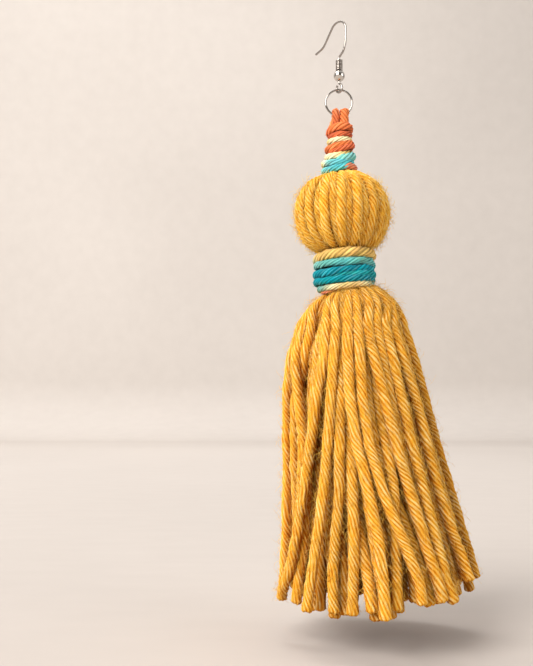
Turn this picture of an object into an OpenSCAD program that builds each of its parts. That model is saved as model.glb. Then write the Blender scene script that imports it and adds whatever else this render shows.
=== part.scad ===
// A long tassel earring: a bent ear wire with a coil and a ball, a jump ring, two cord loops,
// a stem wound with coloured cord, a round yarn head, a wound neck and a full skirt of yarn.
// All sizes are in millimetres. The origin is the inside of the ear wire's highest bend.

/* [Ear wire] */
// Thickness of the ear wire
wire_d = 0.58; // [0.5:0.02:0.64]
// Radius of the bend that sits in the ear, along the wire's middle
arch_r = 2.8; // [2.5:0.1:3.2]
// Straight run of the front leg below the bend
front_run = 2.4; // [1.6:0.1:3.2]
// Straight run of the back leg below the bend
tail_run = 4.2; // [3:0.1:6]
// Turn of the ear wire's plane away from the front, in degrees
hook_turn = 47; // [46:1:52]
// Length of the wire between the front leg and the small loop, hidden in the coil and ball
shank_len = 7; // [6.9:0.1:8.5]

/* [Coil and ball] */
// Thickness of the coiled wire
coil_wire_d = 0.4; // [0.34:0.02:0.44]
// Outer width of the coil
coil_d = 1.94; // [1.8:0.02:2.2]
// Number of turns in the coil
coil_turns = 8; // [6:1:8]
// Width of the ball
ball_d = 3.1; // [2.8:0.1:3.3]

/* [Loop and ring] */
// Outer width of the small loop at the foot of the ear wire
eye_w = 2.6; // [2.56:0.02:2.8]
// Outer height of the small loop
eye_h = 3.2; // [3.2:0.1:4]
// Outer width of the jump ring
ring_d = 7.84; // [7.4:0.1:9]
// Thickness of the jump ring's wire
ring_wire_d = 0.56; // [0.5:0.02:0.6]
// How far the ring's middle hangs to the left of the ear wire's foot
ring_shift = 0.1; // [0:0.05:0.2]

/* [Stem] */
// Thickness of the cord in the two loops on the ring
loop_cord_d = 2.1; // [1.8:0.05:2.2]
// Room between the ring and the cord loops round it
loop_play = 0.22; // [0.2:0.01:0.3]
// Width of the stem at its widest turn
stem_w = 9.9; // [9.6:0.1:11]
// Thickness of the cord wound on the stem
stem_cord_d = 1.9; // [1.6:0.05:2]
// Slant of the stem's turns, in degrees
stem_slant = 2.5; // [0:0.5:3]

/* [Head] */
// Width of the round yarn head
head_d = 26.4; // [24:0.2:30]
// Height of the head between its two wound ends
head_h = 21.8; // [20:0.2:23]
// Number of yarn strands round the head
head_strands = 28; // [24:1:30]
// Depth of the grooves between the head's strands
groove = 0.9; // [0.4:0.1:1.2]
// How far the head's middle hangs to the right of the ear wire's foot
head_shift = 0.45; // [0:0.05:1]

/* [Neck] */
// Width of the wound neck
neck_w = 17.3; // [16:0.1:18.5]
// Thickness of the cord wound on the neck
neck_cord_d = 2; // [1.8:0.05:2.3]
// Slant of the neck's turns, in degrees
neck_slant = 2.5; // [0:0.5:4]
// How far the neck's middle hangs to the right of the ear wire's foot
neck_shift = 1.15; // [0:0.05:1.8]

/* [Skirt] */
// Length of the skirt below the neck
skirt_l = 82; // [70:1:110]
// Width of the skirt at its foot
skirt_w = 56.5; // [48:0.5:66]
// Depth of the skirt at its foot, from front to back
skirt_depth = 52; // [44:0.5:62]
// Thickness of one strand of yarn
strand_d = 3.1; // [2.8:0.1:3.4]
// Strands in the outer layer
outer_strands = 30; // [24:1:32]
// Strands in the middle layer
middle_strands = 18; // [14:1:20]
// Strands in the inner layer
inner_strands = 8; // [6:1:9]

/* [Hidden] */

// Circles and arcs that stay true curves
$fn = 48;
// Gap between pieces that lie on each other
gap = 0.12;
// Gap between the wound turns and what they are wound on
wrap_gap = 0.18;

// The ear wire is a chain of runs. Each row is its length along the wire and the angle that it
// turns, with left turns positive, as seen from the wire's own side.
RUN = 0;
TURN = 1;
function arc_run(radius, turn) = [radius * abs(turn) * PI / 180, turn];
front_rows = [
    arc_run(arch_r, -90),
    [front_run, 0],
    arc_run(2.9 * arch_r, -22),
    arc_run(1.03 * arch_r, -33),
    [0.26 * arch_r, 0],
    arc_run(0.19 * arch_r, 55)
];
tail_rows = [
    arc_run(arch_r, 53),
    [tail_run, 0],
    arc_run(1.4 * arch_r, -37),
    [0.65 * arch_r, 0]
];
apex = [0, wire_d / 2];

// Where one run ends, from its start and heading
function run_end(start, heading, row) =
    row[TURN] == 0
        ? start + row[RUN] * [cos(heading), sin(heading)]
        : let (
            radius = row[RUN] / (abs(row[TURN]) * PI / 180),
            chord = 2 * radius * sin(abs(row[TURN]) / 2),
            middle = heading + row[TURN] / 2
        )
        start + chord * [cos(middle), sin(middle)];
// Heading and place after the first few runs of a chain
function chain_heading(rows, heading, count) =
    count == 0 ? heading : chain_heading(rows, heading, count - 1) + rows[count - 1][TURN];
function chain_point(rows, start, heading, count) =
    count == 0
        ? start
        : run_end(
            chain_point(rows, start, heading, count - 1),
            chain_heading(rows, heading, count - 1),
            rows[count - 1]
        );

// Places and headings along a chain, with a ring about every 15 degrees of bend
ring_turn = 15;
function chain_rings(rows, start, heading) = [
    for (i = [0 : len(rows) - 1])
        let (
            from = chain_point(rows, start, heading, i),
            along = chain_heading(rows, heading, i),
            steps = max(1, ceil(abs(rows[i][TURN]) / ring_turn))
        )
        for (k = [1 : steps])
            let (part = rows[i] * k / steps)
            concat(run_end(from, along, part), along + part[TURN])
];

// The foot of the front leg, in the ear wire's own plane, and the line that all hangs on
foot = chain_point(front_rows, apex, 0, len(front_rows));
hang_x = foot[0] * cos(hook_turn);
hang_y = -foot[0] * sin(hook_turn);

// Heights down the hanging line
eye_top_z = foot[1] - shank_len;
ball_z = eye_top_z + wire_d / 2 + gap + ball_d / 2;
eye_r = (eye_w - wire_d) / 2;
eye_foot_z = eye_top_z - (eye_h - wire_d);
// The eye is one more chain: the wire swings out, runs round and comes back almost to the shank
eye_neck_r = 0.58 * wire_d;
eye_neck_turn = 65;
eye_side_r = (eye_r - eye_neck_r * (1 - cos(eye_neck_turn))) / (1 - cos(eye_neck_turn));
eye_bend_h = (eye_neck_r + eye_side_r) * sin(eye_neck_turn);
eye_side_run = eye_h - wire_d - eye_r - eye_bend_h;
eye_rows = [
    [shank_len, 0],
    arc_run(eye_neck_r, eye_neck_turn),
    arc_run(eye_side_r, -eye_neck_turn),
    [eye_side_run, 0],
    arc_run(eye_r, -180),
    [eye_side_run, 0],
    arc_run(eye_side_r, -0.7 * eye_neck_turn)
];
ring_r = (ring_d - ring_wire_d) / 2;
ring_play = 0.12;
ring_top_z = eye_foot_z + (wire_d + ring_wire_d) / 2 + ring_play;
ring_z = ring_top_z - ring_r;

// Coil: turns touch each other a little, so that they are one solid on the ball
coil_r = (coil_d - coil_wire_d) / 2;
coil_pitch = 0.96 * coil_wire_d;
coil_z = ball_z + gap / 2 + sqrt(pow((ball_d + coil_wire_d) / 2, 2) - pow(coil_r, 2));

// The two cord loops stand side by side on the ring
loop_r = ring_wire_d / 2 + loop_play + loop_cord_d / 2;
loop_x = hang_x + 0.05;
loop_spread = (loop_cord_d + gap) / 2;
loop_taper = 17;
leg_len = 2.7 * loop_cord_d;
stem_top_z = ring_z - ring_r - 1.4 * loop_cord_d;
core_top_r = loop_spread + loop_cord_d / 2 + 0.1;
core_foot_r = 0.34 * stem_w;

// Wound turns, from the top down: reach from the axis as a share of half the width, and thickness
// as a share of the cord
REACH = 0;
THICK = 1;
stem_rows = [
    [0.775, 1.12],
    [0.74, 0.80],
    [0.72, 0.84],
    [0.86, 0.90],
    [0.86, 0.90],
    [0.91, 0.78],
    [1.00, 0.79]
];
neck_rows = [
    [1.00, 1.26],
    [0.98, 1.00],
    [1.00, 0.95],
    [0.99, 0.88],
    [0.95, 0.86]
];
function thick_sum(rows, count) = count == 0 ? 0 : thick_sum(rows, count - 1) + rows[count - 1][THICK];
// Room that the slant of the end turns needs above and below a winding
function end_room(width, slant) = gap + width / 2 * sin(slant);
function winding_h(rows, cord, width, slant) =
    thick_sum(rows, len(rows)) * cord + (len(rows) - 1) * gap + 2 * end_room(width, slant);
function turn_depth(rows, number, cord, width, slant) =
    end_room(width, slant) + (thick_sum(rows, number) + rows[number][THICK] / 2) * cord + number * gap;
stem_h = winding_h(stem_rows, stem_cord_d, stem_w, stem_slant);
stem_foot_z = stem_top_z - stem_h;

// Head
head_r = head_d / 2;
head_top_z = stem_foot_z;
head_foot_z = head_top_z - head_h;
head_z = head_top_z - 0.528 * head_h;
head_top_r = 0.38 * head_r;

// Neck
neck_h = winding_h(neck_rows, neck_cord_d, neck_w, neck_slant);
neck_top_z = head_foot_z;
neck_foot_z = neck_top_z - neck_h;
neck_core_r = neck_w / 2 - 1.04 * neck_cord_d;

// Skirt outline: drop below the neck as a share of the skirt's length, half the width as a share
// of half its foot's width, and shift to the right of the neck as a share of the foot's width
DROP = 0;
HALF = 1;
SHIFT = 2;
skirt_rows = [
    [0.00, 0.22, 0.000],
    [0.02, 0.36, 0.012],
    [0.06, 0.475, 0.014],
    [0.12, 0.575, 0.014],
    [0.22, 0.68, 0.022],
    [0.36, 0.755, 0.038],
    [0.50, 0.795, 0.063],
    [0.64, 0.84, 0.098],
    [0.78, 0.90, 0.130],
    [0.90, 0.96, 0.152],
    [1.00, 1.00, 0.160]
];
// Depth of the skirt at each drop follows its width, but stays fuller near the neck
function skirt_half(drop) = lookup(drop, [for (row = skirt_rows) [row[DROP], row[HALF]]]) * skirt_w / 2;
function skirt_deep(drop) = lookup(drop, [for (row = skirt_rows) [row[DROP], row[HALF]]]) * skirt_depth / 2;
function skirt_shift(drop) = lookup(drop, [for (row = skirt_rows) [row[DROP], row[SHIFT]]]) * skirt_w;

// Reach of the inner layers as a share of the outer layer's
middle_share = 0.77;
inner_share = 0.4;

// An even scatter from 0 to 1 for strand number i
function scatter(i, salt) = let (v = i * 0.6180339887 + salt * 0.754877666) v - floor(v);

// The back strands hang further to the left than the front ones, which keeps the skirt's weight
// under the ring
back_pull = 0.9;

// Middle of a strand at a drop: angle round the skirt and share of its reach
function strand_point(drop, angle, share) = [
    hang_x + neck_shift + skirt_shift(drop) * (1 - back_pull * max(0, sin(angle)))
        + share * (skirt_half(drop) - strand_d / 2) * cos(angle),
    hang_y + share * (skirt_deep(drop) - strand_d / 2) * sin(angle),
    neck_foot_z - drop * skirt_l
];
function strand_end(i, layer) = 0.965 + 0.035 * scatter(i, layer);
strand_drops = [0.17, 0.28, 0.42, 0.6, 0.8, 1];
function strand_drift(i, layer) = 9 * (scatter(i, 3 + layer) - 0.5);
function strand_route(i, count, share, layer) =
    let (
        angle = 360 * (i + 0.5 * layer) / count,
        foot_drop = strand_end(i, layer)
    )
    [for (d = strand_drops) strand_point(d * foot_drop, angle + strand_drift(i, layer) * d, share)];

// Walls and end caps of a closed tube of rings that all have the same number of points
function tube_faces(rings, sides) = concat(
    [
        for (j = [0 : rings - 2]) for (k = [0 : sides - 1])
            let (a = j * sides + k, b = j * sides + (k + 1) % sides)
            [a, b, b + sides, a + sides]
    ],
    [[for (k = [0 : sides - 1]) sides - 1 - k], [for (k = [0 : sides - 1]) (rings - 1) * sides + k]]
);

// A wound turn: a round cord whose inner side is pressed flat on what it is wound on
module turn(reach, thick, core, slant) {
    rotate([0, -slant, 0])
        rotate_extrude()
            intersection() {
                translate([reach - thick / 2, 0]) circle(d = thick);
                translate([core + wrap_gap, -thick]) square([reach, 2 * thick]);
            }
}

// The ear wire is one round wire swept in its own plane, from its tip over the arch, down the
// front leg and the shank and round the eye
wire_sides = 10;
module ear_hook() {
    tail = chain_rings(tail_rows, apex, 180);
    tip = tail[len(tail) - 1];
    filed = [tip[0] + 0.25 * wire_d * cos(tip[2]), tip[1] + 0.25 * wire_d * sin(tip[2]), tip[2]];
    path = concat(
        [[filed[0], filed[1], filed[2] + 180, 0.5]],
        [for (i = [len(tail) - 1 : -1 : 0]) [tail[i][0], tail[i][1], tail[i][2] + 180, 1]],
        [[apex[0], apex[1], 0, 1]],
        [for (p = chain_rings(concat(front_rows, eye_rows), apex, 0)) concat(p, 1)]
    );
    points = [
        for (p = path) for (k = [0 : wire_sides - 1])
            let (
                a = 360 * (k + 0.5) / wire_sides,
                side = p[3] * wire_d / 2 * cos(a),
                out = p[3] * wire_d / 2 * sin(a)
            )
            [p[0] - side * sin(p[2]), p[1] + side * cos(p[2]), out]
    ];
    color([0.78, 0.76, 0.73])
        rotate([0, 0, -hook_turn])
            rotate([90, 0, 0])
                polyhedron(points, tube_faces(len(path), wire_sides));
}

module hook_coil() {
    color([0.74, 0.72, 0.70])
        translate([hang_x, hang_y, coil_z])
            rotate_extrude() {
                for (k = [0 : coil_turns - 1])
                    translate([coil_r, k * coil_pitch]) circle(d = coil_wire_d);
                translate([coil_r - coil_wire_d / 4, 0])
                    square([coil_wire_d / 2, (coil_turns - 1) * coil_pitch]);
            }
}

module hook_ball() {
    color([0.82, 0.80, 0.77])
        translate([hang_x, hang_y, ball_z])
            difference() {
                sphere(d = ball_d);
                cylinder(d = wire_d + gap, h = 2 * ball_d, center = true);
            }
}

module jump_ring() {
    color([0.76, 0.74, 0.71])
        translate([hang_x - ring_shift, hang_y, ring_z])
            rotate([90, 0, 0])
                rotate_extrude()
                    translate([ring_r, 0]) circle(d = ring_wire_d);
}

// One loop of cord over the ring, whose two legs come together in the stem
module cord_loop(x) {
    from_ring = x - (hang_x - ring_shift);
    z = ring_z - sqrt(ring_r * ring_r - from_ring * from_ring);
    difference() {
        translate([x, hang_y, z])
            rotate([90, 0, 90]) {
                rotate([0, 0, -loop_taper])
                    rotate_extrude(angle = 180 + 2 * loop_taper)
                        translate([loop_r, 0]) circle(d = loop_cord_d);
                for (side = [-1, 1])
                    translate([side * loop_r * cos(loop_taper), -loop_r * sin(loop_taper), 0])
                        rotate([90, side * loop_taper, 0])
                            cylinder(d = loop_cord_d, h = leg_len);
            }
        translate([x, hang_y, stem_top_z - 5 * loop_cord_d])
            cube([10, 10, 10] * loop_cord_d, center = true);
    }
}

module cord_loop_left() {
    color([0.91, 0.43, 0.26]) cord_loop(loop_x - loop_spread);
}

module cord_loop_right() {
    color([0.93, 0.47, 0.28]) cord_loop(loop_x + loop_spread);
}

// The bundle of cord that the stem's turns are wound on
module stem_core() {
    color([0.88, 0.42, 0.26])
        translate([hang_x, hang_y, stem_foot_z])
            cylinder(r1 = core_foot_r, r2 = core_top_r, h = stem_h);
}

module stem_turn(number) {
    depth = turn_depth(stem_rows, number, stem_cord_d, stem_w, stem_slant);
    core = core_top_r + depth / stem_h * (core_foot_r - core_top_r);
    translate([hang_x, hang_y, stem_top_z - depth])
        turn(stem_rows[number][REACH] * stem_w / 2, stem_rows[number][THICK] * stem_cord_d, core, stem_slant);
}

module stem_turn_coral_1() {
    color([0.92, 0.42, 0.25]) stem_turn(0);
}

module stem_turn_coral_2() {
    color([0.89, 0.40, 0.25]) stem_turn(1);
}

module stem_turn_cream_1() {
    color([0.95, 0.85, 0.58]) stem_turn(2);
}

module stem_turn_coral_3() {
    color([0.92, 0.46, 0.25]) stem_turn(3);
}

module stem_turn_cream_2() {
    color([0.94, 0.82, 0.52]) stem_turn(4);
}

module stem_turn_aqua_1() {
    color([0.52, 0.84, 0.80]) stem_turn(5);
}

module stem_turn_aqua_2() {
    color([0.40, 0.80, 0.80]) stem_turn(6);
}

// A ball of strands laid from pole to pole, flat where the stem and the neck meet it
module tassel_head() {
    per_strand = 4;
    around = head_strands * per_strand;
    first = 37;
    last = acos((head_foot_z - head_z) / head_r);
    steps = 9;
    profile = concat(
        [[head_top_r, head_top_z]],
        [for (k = [0 : steps]) let (a = first + (last - first) * k / steps) [head_r * sin(a), head_z + head_r * cos(a)]]
    );
    lean_x = hang_x + head_shift;
    crest = [0, 0.62, 1, 0.62];
    points = [
        for (p = profile) for (k = [0 : around - 1])
            let (
                hollow = groove * (1 - crest[k % per_strand]) * p[0] / head_r,
                angle = 360 * k / around
            )
            [lean_x + (p[0] - hollow) * cos(angle), hang_y + (p[0] - hollow) * sin(angle), p[1]]
    ];
    color([0.86, 0.63, 0.22]) polyhedron(points, tube_faces(len(profile), around));
}

module neck_turn(number) {
    depth = turn_depth(neck_rows, number, neck_cord_d, neck_w, neck_slant);
    reach = neck_rows[number][REACH] * neck_w / 2;
    translate([hang_x + neck_shift, hang_y, neck_top_z - depth])
        turn(reach, neck_rows[number][THICK] * neck_cord_d, neck_core_r, neck_slant);
}

module neck_turn_gold() {
    color([0.88, 0.71, 0.33]) neck_turn(0);
}

module neck_turn_mint() {
    color([0.50, 0.80, 0.76]) neck_turn(1);
}

module neck_turn_teal_1() {
    color([0.05, 0.60, 0.68]) neck_turn(2);
}

module neck_turn_teal_2() {
    color([0.06, 0.64, 0.70]) neck_turn(3);
}

module neck_turn_pale() {
    color([0.80, 0.84, 0.66]) neck_turn(4);
}

// A strand of the skirt, with the cut end of its core showing at the foot
strand_sides = 6;
module strand(i, count, share, layer) {
    route = strand_route(i, count, share, layer);
    foot_point = route[len(route) - 1];
    spin = 60 * scatter(i, 7 + layer);
    points = [
        for (p = route) for (k = [0 : strand_sides - 1])
            p + strand_d / 2 * [cos(spin + 60 * k), sin(spin + 60 * k), 0]
    ];
    polyhedron(points, tube_faces(len(route), strand_sides));
    hull() {
        translate(foot_point - [0, 0, 0.2 * strand_d])
            rotate([0, 0, spin]) cylinder(d = 0.55 * strand_d, h = 0.1 * strand_d, $fn = strand_sides);
        translate(foot_point)
            rotate([0, 0, spin]) cylinder(d = 0.8 * strand_d, h = 0.1 * strand_d, $fn = strand_sides);
    }
}

// The bundle in the neck and the shoulder below it are one body. On the shoulder the strands lie so
// close that there is only a groove between each two. Its foot is a flat step that the free
// strands hang out of.
shoulder_drops = [0.02, 0.05, 0.09, 0.14, 0.2];
shoulder_rise = [0.5 * strand_d + 0.2, 0.42 * strand_d, 0.16 * strand_d, 0.42 * strand_d];
module skirt_shoulder() {
    per_strand = len(shoulder_rise);
    around = per_strand * outer_strands;
    full_r = skirt_half(shoulder_drops[len(shoulder_drops) - 1]);
    points = concat(
        [
            for (z = [neck_top_z, neck_foot_z]) for (k = [0 : around - 1])
                let (angle = 360 * k / around)
                [hang_x + neck_shift + neck_core_r * cos(angle), hang_y + neck_core_r * sin(angle), z]
        ],
        [
            for (drop = shoulder_drops) for (i = [0 : outer_strands - 1]) for (k = [0 : per_strand - 1])
                let (
                    here = 360 * i / outer_strands + strand_drift(i, 0) * drop,
                    next = 360 * (i + 1) / outer_strands + strand_drift((i + 1) % outer_strands, 0) * drop,
                    angle = here + (next - here) * k / per_strand,
                    hollow = (shoulder_rise[0] - shoulder_rise[k]) * skirt_half(drop) / full_r
                )
                strand_point(drop, angle, 1) + (shoulder_rise[0] - hollow) * [cos(angle), sin(angle), 0]
        ]
    );
    polyhedron(points, tube_faces(len(shoulder_drops) + 2, around));
}

module tassel_skirt() {
    color([0.86, 0.61, 0.19]) {
        skirt_shoulder();
        for (i = [0 : outer_strands - 1])
            strand(i, outer_strands, 1, 0);
        for (i = [0 : middle_strands - 1])
            strand(i, middle_strands, middle_share, 1);
        for (i = [0 : inner_strands - 1])
            strand(i, inner_strands, inner_share, 2);
    }
}

ear_hook();
hook_coil();
hook_ball();
jump_ring();
cord_loop_left();
cord_loop_right();
stem_core();
stem_turn_coral_1();
stem_turn_coral_2();
stem_turn_cream_1();
stem_turn_coral_3();
stem_turn_cream_2();
stem_turn_aqua_1();
stem_turn_aqua_2();
tassel_head();
neck_turn_gold();
neck_turn_mint();
neck_turn_teal_1();
neck_turn_teal_2();
neck_turn_pale();
tassel_skirt();
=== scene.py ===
import math

import bpy
import numpy as np
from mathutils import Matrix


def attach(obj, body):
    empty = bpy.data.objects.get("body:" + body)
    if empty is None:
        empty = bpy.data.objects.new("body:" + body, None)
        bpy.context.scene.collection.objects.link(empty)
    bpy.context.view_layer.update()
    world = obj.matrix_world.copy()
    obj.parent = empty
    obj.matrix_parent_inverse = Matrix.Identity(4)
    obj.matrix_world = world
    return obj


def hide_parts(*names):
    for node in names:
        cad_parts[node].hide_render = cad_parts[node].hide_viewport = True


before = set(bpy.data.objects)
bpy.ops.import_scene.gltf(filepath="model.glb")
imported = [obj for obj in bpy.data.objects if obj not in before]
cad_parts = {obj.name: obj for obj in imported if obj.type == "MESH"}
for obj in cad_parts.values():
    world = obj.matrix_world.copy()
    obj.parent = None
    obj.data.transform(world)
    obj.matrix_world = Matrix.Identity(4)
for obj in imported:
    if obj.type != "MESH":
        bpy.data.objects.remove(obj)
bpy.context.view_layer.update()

MM = 0.001
LOOP_SEED, TURN_SEED, HEAD_SEED, SKIRT_SEED = 3, 12, 7, 41
rng = np.random.default_rng(LOOP_SEED)


def reseed(seed):
    """Start the chance numbers afresh, so that no part changes when another does."""
    global rng
    rng = np.random.default_rng(seed)


def phase():
    """Any angle, where a wave or a twist starts."""
    return rng.uniform(0, 6.28)


# The line that all hangs on, as its x and y, and the sizes and heights down it, in millimetres
HANG = np.array([0.249427, -0.267477])
HOOK_TURN = math.radians(47)
WIRE = 0.58
ARCH_R = 2.8
EYE_W = 2.6
COIL_Z, COIL_R, COIL_TURNS, COIL_PITCH, COIL_STEPS, COIL_WIRE = -13.66, 0.79, 7.6, 0.40, 28, 0.36
# The ball's points within POLE_R of its axis are taken out for the bore
BALL_Z, BALL_R, POLE_R = -15.1272, 1.55, 0.25
RING_X = HANG[0] - 0.1
RING_Z = -22.6572
RING_R = 3.64
RING_WIRE = 0.56
# The cut in the ring: where it is and how far it is open, in degrees
RING_CUT, RING_GAP = 62, 2.2
STEM_TOP = -29.2372
STEM_FOOT = -42.2761
CORD_PLIES = 6
HEAD_X = HANG[0] + 0.45
HEAD_Z = -53.7865
HEAD_R = 13.2
HEAD_PLIES = 7
NECK_X = HANG[0] + 1.15
NECK_FOOT = -75.4507
# How thick the yarn is in the outline, and how thick a strand is laid
YARN, STRAND = 3.1, 2.9
SKIRT_L = 81.0
SKIRT_W = 56.5
SKIRT_D = 52.0
# Drop below the neck, half width and shift to the right, as shares
SKIRT = np.array([
    [0.00, 0.31, 0.026], [0.012, 0.36, 0.036], [0.046, 0.45, 0.040], [0.08, 0.505, 0.037],
    [0.113, 0.55, 0.036], [0.146, 0.575, 0.035], [0.22, 0.645, 0.035], [0.36, 0.715, 0.050],
    [0.50, 0.765, 0.076], [0.64, 0.82, 0.108], [0.78, 0.885, 0.136], [0.90, 0.95, 0.155],
    [1.00, 0.99, 0.163]])
# Floor and wall, in metres: the floor's height and near edge, where it bends up and how tightly, and
# the wall's height and half width
FLOOR_Z, NEAR_Y, BEND_Y, BEND_R, WALL_H, WALL_HALF = -0.1685, -3.0, 1.75, 0.16, 3.2, 4.0


# Camera
def set_camera():
    data = bpy.data.cameras.new("camera")
    data.sensor_fit = "HORIZONTAL"
    data.sensor_width = 36.0
    data.lens = 53.0
    data.shift_y = 0.0816
    data.clip_start = 0.01
    data.clip_end = 50.0
    camera = bpy.data.objects.new("camera", data)
    camera.location = (-0.0198, -0.2120, -0.1094)
    camera.rotation_euler = (math.radians(93.05), 0.0, 0.0)
    bpy.context.scene.collection.objects.link(camera)
    bpy.context.scene.camera = camera


set_camera()


# Finishes
def srgb(red, green, blue):
    def line(value):
        value /= 255.0
        return value / 12.92 if value <= 0.04045 else ((value + 0.055) / 1.055) ** 2.4
    return (line(red), line(green), line(blue), 1.0)


def feed(tree, socket, value):
    """Give a shader socket a plain value or a link."""
    if isinstance(value, Tone):
        tree.links.new(value.socket, socket)
    else:
        socket.default_value = value


class Tone:
    """The value of a shader socket, for use in plain expressions."""

    def __init__(self, tree, socket):
        self.tree = tree
        self.socket = socket

    def math(self, operation, first, second, clamp=False):
        node = self.tree.nodes.new("ShaderNodeMath")
        node.operation = operation
        node.use_clamp = clamp
        for socket, value in zip(node.inputs, (first, second)):
            feed(self.tree, socket, value)
        return Tone(self.tree, node.outputs[0])

    def __add__(self, other):
        return self.math("ADD", self, other)

    def __radd__(self, other):
        return self.math("ADD", other, self)

    def __sub__(self, other):
        return self.math("SUBTRACT", self, other)

    def __rsub__(self, other):
        return self.math("SUBTRACT", other, self)

    def __mul__(self, other):
        return self.math("MULTIPLY", self, other)

    def held(self):
        return self.math("ADD", self, 0.0, clamp=True)


class Shading:
    """A node tree. All its nodes come from one method, other than those of Tone."""

    def __init__(self, tree):
        self.tree = tree

    def node(self, kind, settings=None, inputs=None, output=0):
        node = self.tree.nodes.new(kind)
        for name, value in (settings or {}).items():
            setattr(node, name, value)
        for name, value in (inputs or {}).items():
            feed(self.tree, node.inputs[name], value)
        return Tone(self.tree, node.outputs[output])

    def blend(self, share, first, second, kind="MIX"):
        # Sockets 0, 6 and 7 take the share and the two colours, and socket 2 gives the colour
        settings = {"data_type": "RGBA", "blend_type": kind, "clamp_result": True}
        return self.node("ShaderNodeMix", settings, {0: share, 6: first, 7: second}, 2)

    def noise(self, place, stretch, detail, rough=0.5):
        scaled = self.node("ShaderNodeVectorMath", {"operation": "MULTIPLY"}, {0: place, 1: stretch})
        return self.node("ShaderNodeTexNoise", {"noise_dimensions": "3D"},
                         {"Vector": scaled, "Scale": 1.0, "Detail": detail, "Roughness": rough})

    def set(self, node, **values):
        for name, value in values.items():
            feed(self.tree, self.tree.nodes[node].inputs[name.replace("_", " ")], value)


class Finish(Shading):
    """A material and its nodes."""

    def __init__(self, name):
        self.material = bpy.data.materials.new(name)
        self.material.use_nodes = True
        super().__init__(self.material.node_tree)

    def surface(self, **values):
        self.set("Principled BSDF", **values)
        return self


def yarn_finish(name, groove, back, painted_highlight, share, sheen, depth):
    """Spun yarn. Between the plies its dye takes the groove's tint, as painted shade. On their backs
    it takes the back's tint and a share of a pale colour, as painted highlight. Depth is how far its
    hairs stand out, in millimetres."""
    finish = Finish(name)
    dye = finish.node("ShaderNodeAttribute", {"attribute_name": "dye"}, output="Color")
    ridge = finish.node("ShaderNodeAttribute", {"attribute_name": "ridge"}, output="Fac")
    fibre = finish.node("ShaderNodeAttribute", {"attribute_name": "fibre"}, output="Vector")
    hairs = finish.noise(fibre, (5.5, 5.5, 0.6), 3.0, 0.6)
    wisps = finish.noise(fibre, (2.1, 2.1, 0.42), 2.0, 0.55)
    patches = finish.noise(fibre, (0.3, 0.3, 0.16), 1.0)
    tone = ridge * 0.72 + (hairs - 0.5) * 0.9 + (wisps - 0.5) * 1.25 + (patches - 0.5) * 0.4
    # Painted shade darkens the grooves between the plies, and a painted highlight lightens their backs
    painted_groove_shade = finish.blend(1.0, dye, groove, "MULTIPLY")
    light = finish.blend(share, finish.blend(1.0, dye, back, "MULTIPLY"), painted_highlight)
    body = finish.blend((tone * 2.0 + 0.1).held(), painted_groove_shade, dye)
    colour = finish.blend((tone * 2.4 - 1.2).held(), body, light)
    height = ridge * 0.5 + hairs * 0.8 + wisps * 0.9
    bump = finish.node("ShaderNodeBump", None, {"Strength": 0.8, "Distance": depth * MM, "Height": height})
    return finish.surface(Base_Color=colour, Roughness=0.95 - (tone * 0.2).held(), Normal=bump,
                          Specular_IOR_Level=0.12, Sheen_Weight=sheen, Sheen_Roughness=0.45,
                          Sheen_Tint=painted_highlight)


def metal_finish(name, colour, rough):
    """Plated wire with a faint cloud and fine drawing marks."""
    finish = Finish(name)
    place = finish.node("ShaderNodeTexCoord", output="Object")
    cloud = finish.noise(place, (900.0, 900.0, 900.0), 2.0)
    marks = finish.noise(place, (5200.0, 5200.0, 1400.0), 2.0)
    base = finish.blend(cloud, colour, tuple(c * 0.9 for c in colour[:3]) + (1.0,))
    bump = finish.node("ShaderNodeBump", None, {"Strength": 0.06, "Distance": 0.02 * MM, "Height": marks})
    return finish.surface(Base_Color=base, Metallic=1.0, Roughness=rough + cloud * 0.08, Normal=bump)


GOLDEN = yarn_finish("golden_yarn", groove=(0.72, 0.42, 0.07, 1.0), back=(0.95, 1.16, 1.9, 1.0),
                     painted_highlight=srgb(250, 231, 176), share=0.46, sheen=0.02, depth=0.2)
CORD = yarn_finish("wound_cord", groove=(0.40, 0.40, 0.44, 1.0), back=(1.27, 1.27, 1.27, 1.0),
                   painted_highlight=srgb(255, 250, 236), share=0.06, sheen=0.05, depth=0.16)
SILVER = metal_finish("silver_wire", srgb(176, 169, 162), 0.12)
POLISH = metal_finish("silver_ball", srgb(214, 208, 201), 0.07)


# Cord and yarn
# How far a ply swells at each of its points, from the groove beside it, by the number of those points
PLY_SHAPES = {4: [0.0, 0.74, 1.0, 0.74], 3: [0.0, 0.9, 0.9], 2: [0.0, 1.0]}
# The run of a loose fibre along the cord and off it, as shares, and its half thickness there
HAIR_RUN = ((0.0, -0.06), (0.5, 0.62), (1.0, 0.82))
HAIR_THICK = np.array([0.048, 0.042, 0.018])


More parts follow.
